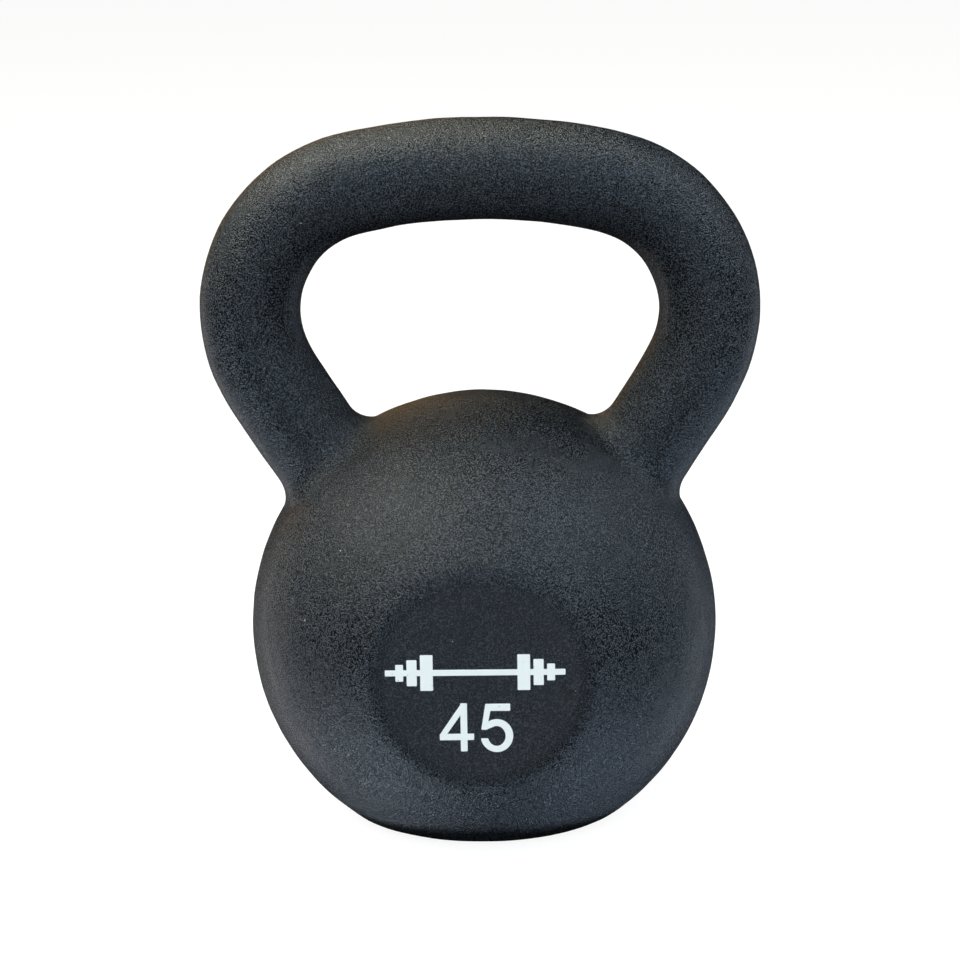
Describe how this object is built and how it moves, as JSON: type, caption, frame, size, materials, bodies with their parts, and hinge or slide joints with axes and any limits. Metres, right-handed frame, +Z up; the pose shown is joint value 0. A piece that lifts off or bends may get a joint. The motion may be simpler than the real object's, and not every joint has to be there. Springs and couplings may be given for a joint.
{
  "type": "kettlebell",
  "caption": "Cast iron kettlebell with a round ball, flat front and base, and a wide looped handle, under a textured dark coat.",
  "frame": {"origin": "on the floor, under the centre of the ball, in the middle of the flat base", "axes": "+Z up through the ball and the grip, the printed front facing -Y, +X to the right as the front is read"},
  "size_m": [0.2044, 0.1538, 0.2601],
  "materials": {
    "bare_iron": "bare cast iron, turned flat on the base",
    "textured_coat": "baked powder coat with a fine orange-peel grain, satin",
    "white_paint": "screen-printed paint, matt"
  },
  "bodies": {
    "root": {"iron_casting": "bare_iron", "powder_coat": "textured_coat", "painted_emblem": "white_paint", "painted_digit_4": "white_paint", "painted_digit_5": "white_paint"}
  },
  "joints": []
}
